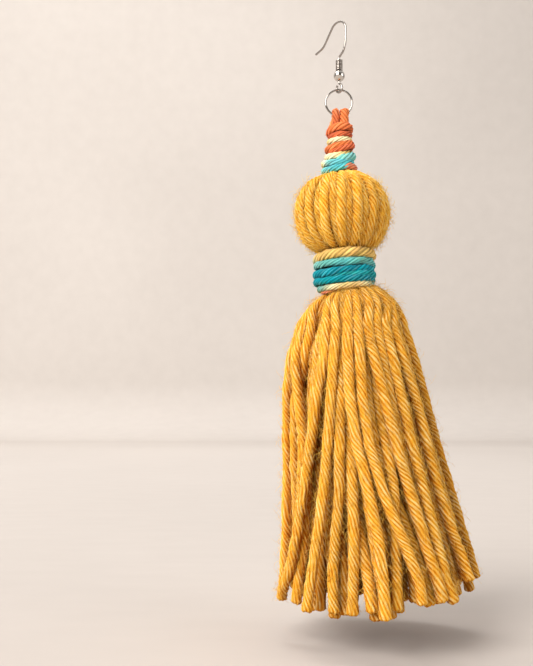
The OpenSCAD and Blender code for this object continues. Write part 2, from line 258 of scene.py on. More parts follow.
class Skein:
    """Lengths of yarn or cord, gathered into one mesh."""

    def __init__(self):
        self.lengths, self.quads, self.fans = [], [], []
        self.count = 0

    def add(self, points, fibre, dye, ridge, quads, fans):
        self.lengths.append((points, fibre, dye, ridge))
        self.quads.append(quads + self.count)
        self.fans.append(fans + self.count)
        self.count += len(points)

    def piece(self, name, finish, body, node, slot):
        points, fibre, dye, ridge = (np.concatenate(column) for column in zip(*self.lengths))
        quads, fans = np.vstack(self.quads), np.vstack(self.fans)
        mesh = bpy.data.meshes.new(name)
        mesh.vertices.add(len(points))
        mesh.vertices.foreach_set("co", (points * MM).astype(np.float32).ravel())
        corners = np.concatenate([quads.ravel(), fans.ravel()]).astype(np.int32)
        starts = np.concatenate([np.arange(len(quads)) * 4, len(quads) * 4 + np.arange(len(fans)) * 3])
        mesh.loops.add(len(corners))
        mesh.loops.foreach_set("vertex_index", corners)
        mesh.polygons.add(len(starts))
        mesh.polygons.foreach_set("loop_start", starts.astype(np.int32))
        mesh.polygons.foreach_set("use_smooth", np.ones(len(starts), bool))
        mesh.update(calc_edges=True)
        for label, kind, field, values in (
                ("fibre", "FLOAT_VECTOR", "vector", fibre),
                ("dye", "FLOAT_COLOR", "color", np.hstack([dye, np.ones((len(dye), 1))])),
                ("ridge", "FLOAT", "value", ridge)):
            data = mesh.attributes.new(label, kind, "POINT").data
            data.foreach_set(field, values.astype(np.float32).ravel())
        mesh.materials.append(finish.material)
        piece = bpy.data.objects.new(name, mesh)
        bpy.context.scene.collection.objects.link(piece)
        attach(piece, body)
        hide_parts(node)


def unit(vectors):
    return vectors / np.linalg.norm(vectors, axis=-1, keepdims=True)


def distance_along(points):
    """How far along a line each of its points lies."""
    return np.concatenate([[0], np.cumsum(np.linalg.norm(np.diff(points, axis=0), axis=1))])


def smooth(points, step):
    """A smooth curve through some points, with a new point about every step."""
    p = np.asarray(points, float)
    u = distance_along(p)
    slope = np.gradient(p, u, axis=0)
    t = np.linspace(0, 1, 16, endpoint=False)[:, None]
    parts = []
    for k, h in enumerate(np.diff(u)):
        parts.append((2 * t ** 3 - 3 * t ** 2 + 1) * p[k] + (t ** 3 - 2 * t ** 2 + t) * h * slope[k]
                     + (3 * t ** 2 - 2 * t ** 3) * p[k + 1] + (t ** 3 - t ** 2) * h * slope[k + 1])
    dense = np.vstack(parts + [p[-1:]])
    run = distance_along(dense)
    at = np.linspace(0, run[-1], max(2, round(run[-1] / step)) + 1)
    return np.stack([np.interp(at, run, dense[:, k]) for k in range(dense.shape[1])], axis=1)


def carried_sides(route):
    """Directions along a route and across it, carried along without twist."""
    along = unit(np.gradient(route, axis=0))
    side = np.array([1.0, 0.0, 0.0])
    sides = []
    for t in along:
        side = unit(side - t * side.dot(t))
        sides.append(side)
    return along, np.array(sides)


def sides_from(outward, along):
    """The part of some outward directions that is square to the route."""
    return unit(outward - along * (outward * along).sum(1, keepdims=True))


def slow(run, reach):
    """A slow irregular wave along a run, between about -1 and 1."""
    waves = [np.sin(run / reach * rate + phase()) for rate in (0.9, 1.7, 2.9)]
    return (waves[0] + 0.7 * waves[1] + 0.5 * waves[2]) / 1.6


def painted_gap_shade(out, facing, power):
    """Painted shade: the share of its colour that a side keeps, less the more it turns in between neighbours.
    """
    turned = (out * facing).sum(-1)
    return (0.62 + 0.38 * np.clip(0.45 + turned, 0, 1))[..., None] ** np.array(power)


def skin_faces(count, around, closed):
    """Four-sided faces between rings of points, and a fan round a middle point at each open end."""
    rows = np.arange(count if closed else count - 1)[:, None]
    ring = np.arange(around)
    after = (ring + 1) % around
    a, b = rows * around + ring, rows * around + after
    up = ((rows + 1) % count - rows) * around
    quads = np.stack([a, b, b + up, a + up], axis=-1).reshape(-1, 4)
    if closed:
        return quads, np.zeros((0, 3), int)
    last = (count - 1) * around
    middle = np.full(around, count * around)
    fans = np.vstack([np.stack([after, ring, middle], axis=-1),
                      np.stack([last + ring, last + after, middle + 1], axis=-1)])
    return quads, fans


def lay(skein, route, sides, along, width, plies, lead, dye, closed=False, flat=1.0, cut=False, groove=0.2,
        tints=None, per_ply=4, facing=None, gap_shade_power=(1.25, 1.95, 3.0)):
    """Lay one plied cord along a route, with so many points round it to a ply. Its plies turn to the
    left, one full turn for each lead. Gives back the points of its skin and the ways that they face."""
    count = len(route)
    around = per_ply * plies
    width = np.broadcast_to(width, (count,))
    run = distance_along(route)
    if closed:
        whole = run[-1] + np.linalg.norm(route[0] - route[-1])
        turns = max(1, round(whole / lead * plies)) / plies
        twist = -2 * np.pi * run / whole * turns
        wave = np.ones(count)
    else:
        twist = -2 * np.pi * run / lead + phase() + 0.75 * slow(run, 5.0)
        wave = 1 + 0.018 * slow(run, 4.0)
    phi = 2 * np.pi * np.arange(around) / around
    ply = np.arange(around) // per_ply
    swell = np.tile(PLY_SHAPES[per_ply], plies)
    # No two plies are equally thick, and each swells and thins a little on its way
    size = 1 + 0.055 * rng.standard_normal(plies)[ply] * swell
    if closed:
        share = 2 * np.pi * run / whole
        lift = [np.sin(3 * share + phase()) + 0.7 * np.sin(7 * share + phase()) for _ in range(plies)]
    else:
        lift = [slow(run, 2.6) for _ in range(plies)]
    lift = np.stack(lift, axis=1)[:, ply] * swell
    reach = size - groove * (1 - swell) + 0.04 * lift
    turn = phi + twist[:, None]
    out = np.cross(along, sides)
    radius = width[:, None] / 2 * reach * wave[:, None]
    points = (route[:, None] + (radius * np.cos(turn) * flat)[..., None] * sides[:, None]
              + (radius * np.sin(turn))[..., None] * out[:, None])
    # The hairs of the yarn run nearly along it, a little drawn round by the twist
    seed = rng.uniform(0, 900, 3)
    drawn = phi + (0 if closed else 0.35) * twist[:, None]
    fibre = np.stack(np.broadcast_arrays(
        np.cos(drawn) * width[:, None] / 2 + seed[0], np.sin(drawn) * width[:, None] / 2 + seed[1],
        run[:, None] + seed[2]), axis=-1)
    ridge = swell + 0.16 * lift
    dye = np.broadcast_to(dye, (count, 3))
    tint = np.repeat(dye[:, None], around, axis=1)
    if tints is not None:
        tint *= tints[ply]
    # Sides that turn in between their neighbours are painted darker, as painted shade
    if facing is not None:
        tint *= painted_gap_shade(unit(points - route[:, None]), facing[:, None], gap_shade_power)
    if cut:
        # Blunt and a little flared at the foot, with its edge rounded over
        spread = 1 + 0.10 * np.clip((run - run[-1] + 2.5) / 2.5, 0, 1) ** 2
        points = route[:, None] + (points - route[:, None]) * spread[:, None, None]
        ragged = 0.1 * rng.standard_normal(plies)[ply] * (0.4 + 0.6 * swell)
        for rise, left in ((0.10, 0.90), (0.17, 0.62)):
            ring = (route[-1] + (points[-1] - route[-1]) * left
                    + along[-1] * (rise * width[-1] + ragged[:, None] * left))
            points = np.concatenate([points, ring[None]])
            fibre = np.concatenate([fibre, fibre[-1:] + [0, 0, 0.3]])
            ridge = np.concatenate([ridge, ridge[-1:] * 0.85])
            tint = np.concatenate([tint, tint[-1:]])
        count += 2
    quads, fans = skin_faces(count, around, closed)
    rows = [points.reshape(-1, 3), fibre.reshape(-1, 3), tint.reshape(-1, 3), ridge.ravel()]
    if not closed:
        ends = [route[0], route[-1] + along[-1] * (0.16 if cut else 0.1) * width[-1]]
        rows = [np.vstack([rows[0], ends]), np.vstack([rows[1], fibre[0].mean(0), fibre[-1].mean(0)]),
                np.vstack([rows[2], dye[0], dye[-1]]), np.concatenate([rows[3], [0.0, 0.2]])]
    skein.add(*rows, quads, fans)
    points = points[:len(route)]
    return points, unit(points - route[:, None])


def fuzz(skein, points, outward, along, number, reach, dye, facing=None):
    """Loose fibres that stand off a cord: closed three-sided hairs of two segments each, most of them
    short. With a facing they grow only on the sides that show, and turned-in ones get painted shade."""
    row = rng.integers(2, len(points) - 2, 3 * number)
    col = rng.integers(0, points.shape[1], 3 * number)
    if facing is not None:
        shown = (outward[row, col] * facing[row]).sum(-1) > -0.25
        row, col = row[shown], col[shown]
    row, col = row[:number], col[:number]
    number = len(row)
    out = outward[row, col]
    t = along[row] * rng.choice([-1.0, 1.0], number)[:, None]
    side = np.cross(out, t)
    length = reach * (0.22 + 0.78 * rng.uniform(0, 1, number) ** 2)
    rise = 0.35 + 0.65 * rng.uniform(0, 1, number)
    bend = rng.uniform(-1, 1, (number, 3))
    # Each leaves the cord in an arc with a chance bend, and thins towards its tip
    line = np.stack([points[row, col] + out * (length * h * rise)[:, None] + t * (length * s * 0.8)[:, None]
                     + side * (length * bend[:, 1] * s * s * 0.9)[:, None] for s, h in HAIR_RUN], axis=1)
    angles = (2 * np.pi * np.arange(3) / 3)[:, None]
    across = unit(np.cross(t, bend) + 1e-6)
    other = np.cross(t, across)
    rim = np.cos(angles) * across[:, None] + np.sin(angles) * other[:, None]
    ring = (line[:, :, None] + HAIR_THICK[:, None, None] * rim[:, None]).reshape(-1, 3)
    first = np.arange(number)[:, None] * 9
    a = first + np.arange(6)
    b = first + np.array([1, 2, 0, 4, 5, 3])
    quads = np.stack([a, a + 3, b + 3, b], axis=-1).reshape(-1, 4)
    fans = np.vstack([first + [0, 1, 2], first + [8, 7, 6]])
    tint = dye * rng.uniform(0.9, 1.2, (number, 1))
    # Hairs that turn in between neighbours are painted darker, as painted shade
    if facing is not None:
        tint = tint * painted_gap_shade(out, facing[row], (1.6, 2.4, 3.6))
    skein.add(ring, ring * 3.0, np.repeat(tint, 9, axis=0), np.full(len(ring), 0.8), quads, fans)


def dye_of(red, green, blue):
    return np.array(srgb(red, green, blue)[:3])


MUSTARD = dye_of(225, 166, 51)
# Loose fibres are paler than the strand that they stand on
HAIR = np.array([1.05, 1.16, 1.4])


def yarn_dye(shade, yellow):
    """One strand's share of the dye lot, a little lighter or darker than the next."""
    value = shade * (1 + 0.045 * rng.standard_normal())
    warm = yellow * (1 + 0.018 * rng.standard_normal())
    return MUSTARD * value * np.array([1.0, warm, warm * warm])


def ply_tints(plies):
    """A small difference in dye from ply to ply."""
    return 1 + 0.04 * rng.standard_normal((plies, 1)) * np.array([1.0, 1.2, 1.6])


# Skirt
DROPS = [0.05, 0.12, 0.22, 0.36, 0.5, 0.64, 0.78, 0.9, 1.0]
# Strands that lie in front, each with its layer, its length and its angles round the skirt at those
# drops, with -90 in front and 0 at the right
FRONT = [
    (1, 0.960, (-168, -158, -155, -153, -155, -161, -167, -167, -165)),
    (1, 0.960, (-162, -150, -154, -169, -180, -186, -190, -194, -196)),
    (0, 1.000, (-128, -120, -120, -128, -137, -145, -153, -162, -177)),
    (1, 1.000, (-128, -128, -129, -134, -142, -150, -157, -163, -165)),
    (0, 1.000, (-119, -112, -111, -115, -120, -127, -134, -138, -141)),
    (1, 1.000, (-108, -108, -108, -109, -111, -116, -123, -127, -127)),
    (1, 0.998, (-106, -106, -106, -105, -105, -108, -110, -113, -114)),
    (0, 1.000, (-103, -99, -99, -100, -99, -97, -94, -94, -95)),
    (0, 0.960, (-94, -92, -91, -91, -91, -87, -81, -76, -75)),
    (1, 0.980, (-77, -80, -79, -78, -77, -79, -82, -86, -88)),
    (0, 0.954, (-74, -80, -77, -74, -71, -69, -67, -64, -62)),
    (0, 0.962, (-45, -62, -61, -58, -58, -57, -57, -58, -53)),
    (0, 0.911, (-32, -49, -47, -42, -40, -40, -39, -37, -37)),
    (0, 0.938, (-14, -24, -22, -9, 0, 0, 0, 0, 0)),
    (1, 0.985, (-110, -110, -110, -110, -110, -110, -107, -104, -102)),
    (1, 0.925, (-20, -30, -30, -26, -22, -20, -20, -20, -20)),
    (1, 0.975, (-98, -99, -100, -100, -100, -100, -99, -96, -93)),
    (1, 0.970, (-88, -86, -86, -86, -85, -80, -73, -69, -67)),
    (1, 0.965, (-60, -70, -68, -66, -64, -63, -62, -62, -58)),
    (2, 1.010, (-108, -107, -106, -105, -104, -103, -102, -100, -99)),
]
# Layer by layer from the outside in: reach as a share of the outline's, how easily a strand is pushed,
# shade and yellow of its dye, painted darker and redder on the inner layers as painted shade, its loose
# fibres and the points to a ply
SHARES = [1.0, 0.885, 0.76, 0.52, 0.22]
GIVE = np.array([0.12, 0.4, 1.0, 1.0, 1.0])
PAINTED_DEPTH_SHADES = [1.05, 1.0, 0.72, 0.6, 0.55]
PAINTED_DEPTH_YELLOWS = [0.98, 0.98, 0.86, 0.86, 0.86]
HAIRS = [620, 520, 150, 10, 4]
PLY_POINTS = [4, 4, 3, 2, 2]
# Loose fibres of an outer strand at the back
BACK_HAIRS = 260
# The drops at which the line of a strand is worked out, as shares of its length
LEVELS = np.concatenate([[0.0, 0.012, 0.025, 0.04, 0.06, 0.08, 0.10, 0.125, 0.15, 0.18],
                         np.linspace(0.22, 1.0, 27)])


def outline(drop, angle):
    """Middle, reach across and reach in depth of the skirt at a drop and an angle, with the strand's
    own thickness taken off."""
    half = np.interp(drop, SKIRT[:, 0], SKIRT[:, 1])
    shift = np.interp(drop, SKIRT[:, 0], SKIRT[:, 2]) * SKIRT_W
    x = NECK_X + shift * (1 - 0.9 * np.maximum(0.0, np.sin(angle)) ** 2)
    return x, half * SKIRT_W / 2 - YARN / 2, half * SKIRT_D / 2 - YARN / 2


def slimness(drop):
    """How thick a strand is at a drop, as a share: it is squeezed where it leaves the neck."""
    return np.interp(drop, [0.0, 0.012, 0.05, 0.15], [0.46, 0.58, 0.8, 1.0])


def strand_line(layer, foot, angles):
    """Where a strand would hang if no other lay beside it."""
    drops = LEVELS * foot
    wander = 0.9 * slow(drops, 0.16) * np.minimum(1.0, 5 * drops)
    angle = np.radians(np.interp(drops, DROPS, angles) + wander)
    x, across, deep = outline(drops, angle)
    share = SHARES[layer] * (1 + 0.015 * slow(drops, 0.2))
    # At the neck the outer strands draw in and the inner ones spread a little
    near = np.interp(drops, [0.0, 0.1], [min(0.95, share[0] * 1.05), share[9]])
    share = np.where(drops < 0.1, near, share)
    # They come out of the neck a little higher on the right
    rise = (0.05 + 1.2 * np.cos(angle)) * np.exp(-drops / 0.05)
    return np.stack([x + share * across * np.cos(angle), HANG[1] + share * deep * np.sin(angle),
                     NECK_FOOT - drops * SKIRT_L + rise], axis=1), drops


def settle(lines, drops, layers):
    """Push strands apart where they would lie in each other, the inner ones more than the outer."""
    rounds, most = 70, 0.8
    start = lines.copy()
    give = GIVE[layers]
    share = give[:, None] / (give[:, None] + give)
    radius = STRAND / 2 * slimness(drops) * 0.93
    free = np.interp(LEVELS, [0.0, 0.03], [0.0, 1.0])
    room = radius[:, None, :] + radius[None, :, :]
    same = np.eye(len(lines), dtype=bool)
    for _ in range(rounds):
        apart = lines[:, None, :, :2] - lines[None, :, :, :2]
        distance = np.linalg.norm(apart, axis=-1) + 1e-6
        push = np.clip(room - distance, 0, most) * 0.5
        push[same] = 0
        step = (apart / distance[..., None] * (push * share[..., None])[..., None]).sum(1)
        lines[:, :, :2] += step * free[None, :, None]
        # None may leave the outline
        angle = np.arctan2(lines[:, :, 1] - HANG[1], lines[:, :, 0] - NECK_X)
        x, across, deep = outline(drops, angle)
        dx, dy = lines[:, :, 0] - x, lines[:, :, 1] - HANG[1]
        over = np.maximum(1.0, np.hypot(dx / across, dy / deep))
        lines[:, :, 0], lines[:, :, 1] = x + dx / over, HANG[1] + dy / over
        moved = lines - start
        moved[:, 1:-1] = 0.25 * moved[:, :-2] + 0.5 * moved[:, 1:-1] + 0.25 * moved[:, 2:]
        lines = start + moved
    return lines


def strand(skein, line, drops, layer, lead, hairs):
    """Lay one strand from inside the neck down its line, with its loose fibres."""
    out = line[1, :2] - np.array([NECK_X, HANG[1]])
    out = out / np.linalg.norm(out)
    inside = [[NECK_X + r * out[0], HANG[1] + r * out[1], NECK_FOOT + z] for r, z in ((2.6, 3.2), (3.8, 2.2))]
    inner = layer > 2
    route = smooth(np.vstack([inside, line]), 1.5 if inner else np.clip(lead / 14, 0.72, 1.15))
    plies = 7 if lead < 13 else 8
    along, sides = carried_sides(route)
    drop = (NECK_FOOT - route[:, 2]) / SKIRT_L
    width = STRAND * slimness(drop) * (1 + 0.03 * rng.standard_normal())
    # Those that face left, towards the key lamp, are painted a little lighter, as painted light
    dye = yarn_dye(PAINTED_DEPTH_SHADES[layer] * (1 + 0.15 * max(0.0, -out[0])), PAINTED_DEPTH_YELLOWS[layer])
    # Sides and hairs that turn in towards the middle of the skirt are painted darker, as painted shade
    away = unit(np.stack([route[:, 0] - NECK_X - 4, route[:, 1] - HANG[1], np.zeros(len(route))], axis=1))
    points, outward = lay(skein, route, sides, along, width, plies, lead, dye, cut=True,
                          per_ply=PLY_POINTS[layer], facing=away, tints=ply_tints(plies))
    fuzz(skein, points, outward, along, hairs, 3.4, dye * HAIR, away)
    if not inner:
        # Frayed fibres at the cut end
        points, outward, along = (np.repeat(rows[-3:], 3, axis=0) for rows in (points, outward, along))
        fuzz(skein, points, outward, along, 20, 1.5, dye * HAIR)


def plan_skirt():
    """Layer, length and angles at the drops of every strand."""
    plan = [(layer, foot, list(angles)) for layer, foot, angles in FRONT]
    for angle in np.linspace(11, 170, 16):
        drift = rng.uniform(-1.2, 1.2)
        foot = 0.965 + 0.035 * rng.uniform()
        plan.append((0, foot, [angle + drift * d + rng.uniform(-1, 1) for d in DROPS]))
    # Each inner layer with its number of strands and how far they drift
    for layer, number, spread in ((2, 34, 6), (3, 18, 8), (4, 6, 10)):
        for k in range(number):
            drift = rng.uniform(-spread, spread)
            angle = 360 * (k + 0.5 * layer) / number
            if layer == 2 and k < 16:
                # At the back they hang behind the gaps between the outer ones
                angle += 180 / number
                drift *= 0.3
            foot = (0.995 if layer == 2 and 200 < angle % 360 < 285 else 0.955) + 0.03 * rng.uniform()
            plan.append((layer, foot, [angle + drift * d + rng.uniform(-1.5, 1.5) for d in DROPS]))
    return plan


def make_skirt():
    reseed(SKIRT_SEED)
    plan = plan_skirt()
    layers = np.array([row[0] for row in plan])
    hung = [strand_line(*row) for row in plan]
    drops = np.array([row[1] for row in hung])
    lines = settle(np.array([row[0] for row in hung]), drops, layers)
    names = ("right", "back_right", "back", "back_left", "left", "front_left", "front", "front_right")
    locks = {name: Skein() for name in names + ("middle_front", "middle_back", "heart")}
    for k, (layer, _, angles) in enumerate(plan):
        angle = angles[4] % 360
        if layer < 2:
            lock = names[int((angle + 22.5) // 45) % 8]
        else:
            lock = "heart" if layer > 2 else ("middle_back" if angle < 180 else "middle_front")
        # The yarn is twisted harder on the right of the front
        hard = max(0.0, math.cos(math.radians(angle + 35)))
        lead = (17.0 - 6.5 * hard) * rng.uniform(0.88, 1.12)
        hairs = HAIRS[layer] if angle > 180 or layer > 1 else BACK_HAIRS
        strand(locks[lock], lines[k], drops[k], layer, lead, hairs)
    for name, skein in locks.items():
        skein.piece("skirt_lock_" + name, GOLDEN, "tassel", "tassel_skirt", "golden_yarn")


# Head
# Azimuths of the head's strands with -90 in front, and whether each lies deeper than its neighbours
HEAD_FRONT = [(-173, 0), (-158, 0), (-141, 0), (-128, 1), (-118, 0), (-106, 1), (-96, 0), (-86, 1),
              (-75, 0), (-64, 1), (-53, 0), (-43, 1), (-34, 0), (-20, 0), (-6, 0)]


def make_head():
    reseed(HEAD_SEED)
    ball = Skein()
    centre = np.array([HEAD_X, HANG[1], HEAD_Z])
    steps = np.linspace(math.radians(14), math.radians(166), 30)
    plan = HEAD_FRONT + [(angle, k % 3 == 1) for k, angle in enumerate(np.linspace(9, 173, 14))]
    for side, (angle, deep) in enumerate(plan):
        angle = math.radians(angle)
        lean = 0.03 * rng.standard_normal()
        points = []
        for polar in steps:
            # Nearer the middle at the poles, most of all at the upper left. Below it lies a little to the
            # right, but not at its left side
            near_pole = max(0.0, (abs(polar - math.pi / 2) - 0.7) / 0.6)
            dip = 0.75 * max(0.0, math.cos(angle + math.radians(150))) if polar < 1.2 else 0.0
            reach = HEAD_R - 1.42 - (0.6 if deep else 0.0) - (0.8 + 0.25 * (side % 2) + dip) * near_pole
            turn = angle + lean * (polar - math.pi / 2)
            lower = max(0.0, -math.cos(polar)) ** 2
            shift = 0.8 - 1.1 * max(0.0, -math.cos(turn))
            points.append([HEAD_X + shift * lower + reach * math.sin(polar) * math.cos(turn),
                           HANG[1] + reach * math.sin(polar) * math.sin(turn),
                           HEAD_Z + reach * math.cos(polar) * 0.99])
        lead = rng.uniform(8.6, 11.5)
        route = smooth(points, lead / 14)
        along = unit(np.gradient(route, axis=0))
        sides = sides_from(unit(route - centre), along)
        level = np.abs(route[:, 2] - HEAD_Z) / HEAD_R
        width = (2.55 if deep else 2.85) * np.interp(level, [0, 0.5, 0.85, 1.0], [1.0, 0.92, 0.64, 0.46])
        # Deeper strands are painted darker, as painted shade, and sides and hairs that turn in get painted
        # shade too
        dye = yarn_dye(1.08 if deep else 1.18, 1.05)
        rows, outward = lay(ball, route, sides, along, width, HEAD_PLIES, lead, dye, flat=0.95,
                            facing=sides, tints=ply_tints(HEAD_PLIES))
        inner = slice(round(0.2 * len(rows)), round(0.88 * len(rows)))
        fuzz(ball, rows[inner], outward[inner], along[inner], 220, 2.9, dye * HAIR, sides[inner])
    ball.piece("head_strands", GOLDEN, "tassel", "tassel_head", "golden_yarn")


# Wound turns
CORAL = dye_of(211, 106, 62)
CORAL_RED = dye_of(199, 86, 55)
BLUSH = dye_of(222, 140, 106)
ORANGE = dye_of(224, 122, 64)
APRICOT = dye_of(238, 172, 96)
CREAM = dye_of(240, 224, 176)
GOLD = dye_of(226, 188, 104)
OLIVE = dye_of(150, 120, 60)
MINT = dye_of(124, 184, 171)
AQUA = dye_of(78, 173, 168)
TURQUOISE = dye_of(40, 168, 172)
TEAL = dye_of(0, 147, 160)
DEEP_TEAL = dye_of(0, 124, 138)
SKY = dye_of(126, 203, 202)
SEA = dye_of(84, 188, 196)
SHALLOWS = dye_of(118, 194, 184)
# The closed turns of each group, from the top down, each with a table of azimuth, height and reach of
# its outer side, its thickness, and azimuths with their colours. 180 is the left, 270 the front, 360
# the right and 450 the back
STEM_TURNS = {
    "coral_1": ("coral_cord", [
        ([(180, -31.3, 3.9), (215, -30.8, 3.95), (270, -30.25, 3.95), (320, -30.05, 3.95),
          (360, -30.5, 3.9), (450, -30.7, 3.7)],
         2.4, [(180, CORAL), (270, ORANGE), (320, CORAL), (360, ORANGE), (450, CORAL)])]),
    "coral_2": ("coral_cord", [
        ([(180, -32.3, 3.3), (225, -32.7, 3.65), (270, -32.5, 3.7), (315, -32.3, 3.7), (360, -32.0, 3.6),
          (450, -32.4, 3.4)],
         1.75, [(180, CORAL_RED), (270, CORAL), (360, CORAL_RED)])]),
    "cream_1": ("cream_cord", [
        ([(180, -33.8, 3.5), (225, -34.05, 3.6), (270, -33.85, 3.6), (315, -33.65, 3.6), (360, -33.2, 3.5),
          (450, -33.7, 3.5)],
         1.85, [(180, GOLD), (225, CREAM), (300, CREAM), (360, GOLD), (450, CREAM)])]),
    "coral_3": ("coral_cord", [
        ([(180, -36.0, 4.2), (225, -36.1, 4.25), (270, -35.7, 4.2), (315, -34.8, 4.1), (360, -34.0, 3.9),
          (450, -35.0, 4.0)],
         1.95, [(180, CORAL), (215, ORANGE), (290, ORANGE), (360, CORAL)]),
        ([(180, -37.0, 3.4), (250, -37.1, 4.1), (270, -36.8, 4.3), (315, -35.6, 4.35), (360, -34.7, 4.3),
          (450, -36.0, 3.8)],
         1.8, [(270, CORAL), (360, CORAL_RED), (450, CORAL)])]),
    "cream_2": ("cream_cord", [
        ([(180, -38.2, 4.3), (225, -38.45, 4.35), (262, -38.55, 4.3), (290, -38.2, 4.1), (315, -37.6, 3.9),
          (360, -36.9, 3.7), (450, -37.8, 4.0)],
         1.95, [(240, CREAM), (290, GOLD), (330, OLIVE), (360, GOLD), (450, CREAM)])]),
    "aqua_1": ("aqua_cord", [
        ([(180, -39.4, 3.3), (240, -39.8, 3.3), (262, -39.7, 4.0), (276, -39.4, 4.55), (303, -38.8, 4.7),
          (330, -38.2, 4.65), (360, -37.8, 4.5), (450, -38.8, 3.8)],
         2.4, [(180, SHALLOWS), (360, SHALLOWS), (450, SKY)]),
        ([(180, -39.9, 5.15), (200, -40.1, 5.0), (225, -40.4, 4.85), (270, -40.6, 4.75), (300, -40.3, 4.4),
          (360, -39.6, 4.0), (450, -39.9, 4.6)],
         1.8, [(165, GOLD), (195, CREAM), (215, SKY), (270, SEA), (310, SEA), (360, SKY), (450, SEA)])]),
    "aqua_2": ("aqua_cord", [
        ([(180, -42.1, 5.1), (215, -42.2, 5.05), (246, -42.15, 4.95), (270, -41.8, 4.8), (300, -41.3, 4.4),
          (360, -40.9, 4.0), (450, -41.4, 4.6)],
         1.9, [(180, SKY), (240, SEA), (300, SEA), (360, SKY), (450, SEA)]),
        ([(180, -42.2, 3.4), (255, -42.1, 3.6), (282, -41.7, 4.5), (300, -41.4, 4.8), (330, -41.2, 4.9),
          (360, -41.2, 4.9), (450, -42.0, 3.8)],
         1.8, [(180, CORAL), (300, BLUSH), (330, BLUSH), (360, CORAL)])])}
NECK_TURNS = {
    "gold": ("gold_cord", [
        ([(180, -66.6, 8.65), (225, -66.2, 8.7), (270, -65.7, 8.7), (315, -65.15, 8.7), (360, -65.3, 8.65),
          (450, -65.5, 8.6)],
         2.8, [(180, MINT), (192, GOLD), (450, GOLD)])]),
    "mint": ("pale_cord", [
        ([(180, -68.1, 8.55), (225, -68.45, 8.55), (270, -68.3, 8.5), (315, -67.4, 8.2), (360, -66.7, 7.8),
          (450, -67.4, 8.3)],
         1.95, [(180, MINT), (270, AQUA), (340, MINT)]),
        ([(180, -67.6, 7.4), (255, -67.8, 7.9), (290, -67.7, 8.4), (330, -67.8, 8.55), (360, -68.2, 8.55),
          (450, -67.9, 7.9)],
         1.8, [(180, MINT), (290, MINT), (360, TURQUOISE), (450, AQUA)])]),
    "teal_1": ("teal_cord", [
        ([(180, -70.6, 8.65), (225, -70.85, 8.6), (270, -70.4, 8.6), (315, -69.5, 8.4), (360, -69.2, 8.1),
          (450, -69.6, 8.4)],
         2.1, [(180, TEAL), (270, DEEP_TEAL), (330, TEAL)]),
        ([(180, -71.2, 7.5), (250, -71.3, 8.0), (285, -71.1, 8.4), (315, -70.9, 8.6), (360, -70.7, 8.65),
          (450, -70.8, 8.0)],
         1.9, [(180, TEAL), (270, TURQUOISE), (360, TEAL)])]),
    "teal_2": ("teal_cord", [
        ([(180, -72.5, 8.5), (225, -73.0, 8.6), (270, -72.8, 8.6), (315, -72.2, 8.5), (360, -72.2, 8.4),
          (450, -72.2, 8.4)],
         2.0, [(240, TEAL), (300, DEEP_TEAL), (360, TEAL)])]),
    "pale": ("pale_cord", [
        ([(180, -74.4, 7.4), (215, -74.8, 7.8), (240, -74.8, 8.2), (270, -74.5, 8.3), (315, -73.6, 8.3),
          (360, -73.4, 8.1), (450, -73.8, 8.1)],
         1.8, [(180, MINT), (215, MINT), (240, CREAM), (275, GOLD), (310, CREAM), (330, MINT), (360, MINT),
               (450, CREAM)]),
        ([(180, -75.1, 6.4), (208, -75.6, 7.2), (226, -75.7, 7.1), (250, -75.0, 6.4), (300, -74.6, 6.0),
          (450, -74.2, 6.0)],
         1.2, [(180, BLUSH)])])}
# The fine azimuths that a turn is worked out at
AZIMUTHS = np.arange(0, 360, 2.0)
# Of each loop over the ring: name, place at the ring and at the foot, thickness, width as a share of it,
# colour in front, place of its foot behind and colour behind
LOOPS = (("left", -1.04, -1.3, 1.7, 1.24, CORAL, -2.1, APRICOT),
         ("right", 1.28, 1.06, 1.8, 1.36, ORANGE, 1.0, CORAL))


def spread_round(at, values):
    """Values given at some azimuths, spread smoothly over the fine azimuths of a closed turn."""
    at = np.asarray(at, float) % 360
    order = np.argsort(at)
    at, values = at[order], np.asarray(values, float)[order]
    wide = np.concatenate([at[-1:] - 360, at, at[:1] + 360])
    full = np.concatenate([values[-1:], values, values[:1]])
    row = np.interp(AZIMUTHS, wide, full)
    soft = np.exp(-0.5 * (np.arange(-12, 13) / 5.0) ** 2)
    return np.convolve(np.concatenate([row[-12:], row, row[:12]]), soft / soft.sum(), "valid")


